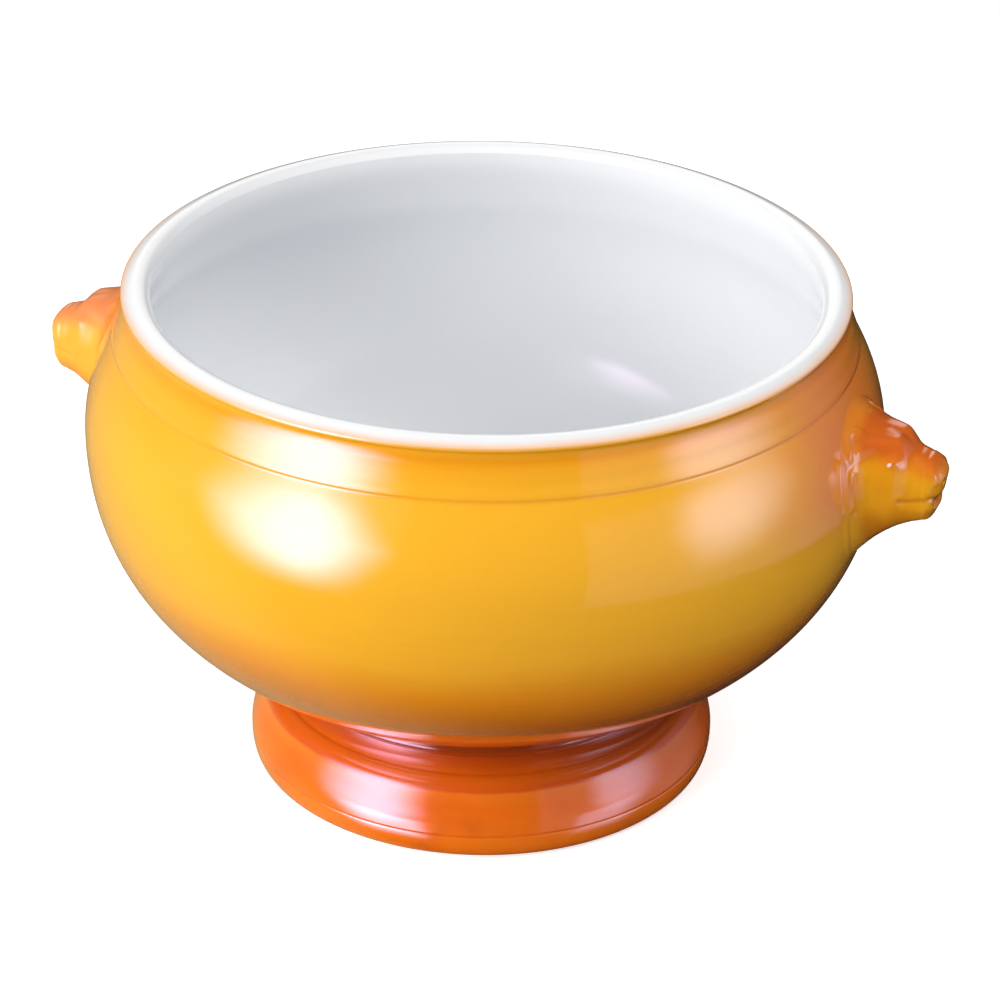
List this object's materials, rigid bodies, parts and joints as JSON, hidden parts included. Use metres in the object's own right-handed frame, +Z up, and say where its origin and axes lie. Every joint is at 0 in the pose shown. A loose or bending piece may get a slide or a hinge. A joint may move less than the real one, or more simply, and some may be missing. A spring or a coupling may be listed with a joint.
{
  "type": "french onion soup crock",
  "caption": "Round footed soup bowl with a rolled lip, shaded amber glaze outside, white glaze inside and moulded lion-head handles.",
  "frame": {"origin": "middle of the standing ring's lower face, on the table", "axes": "+Z up along the bowl's axis, +X towards the nose of the right lion head, -Y towards the picture's near side"},
  "size_m": [0.1648, 0.1386, 0.0916],
  "materials": {
    "amber_glaze": "glossy glaze, yellow at the belly and shaded to brown orange below",
    "white_glaze": "glossy white glaze",
    "foot_glaze": "glossy orange glaze",
    "bare_clay": "matt bare porcelain, ground flat",
    "head_glaze": "glossy amber glaze with red orange over the brow and nose"
  },
  "bodies": {
    "root": {"bowl_body": "amber_glaze", "liner_glaze": "white_glaze", "pedestal_foot": "foot_glaze", "standing_ring": "bare_clay", "lion_head_right": "head_glaze", "lion_head_left": "head_glaze"}
  },
  "joints": []
}
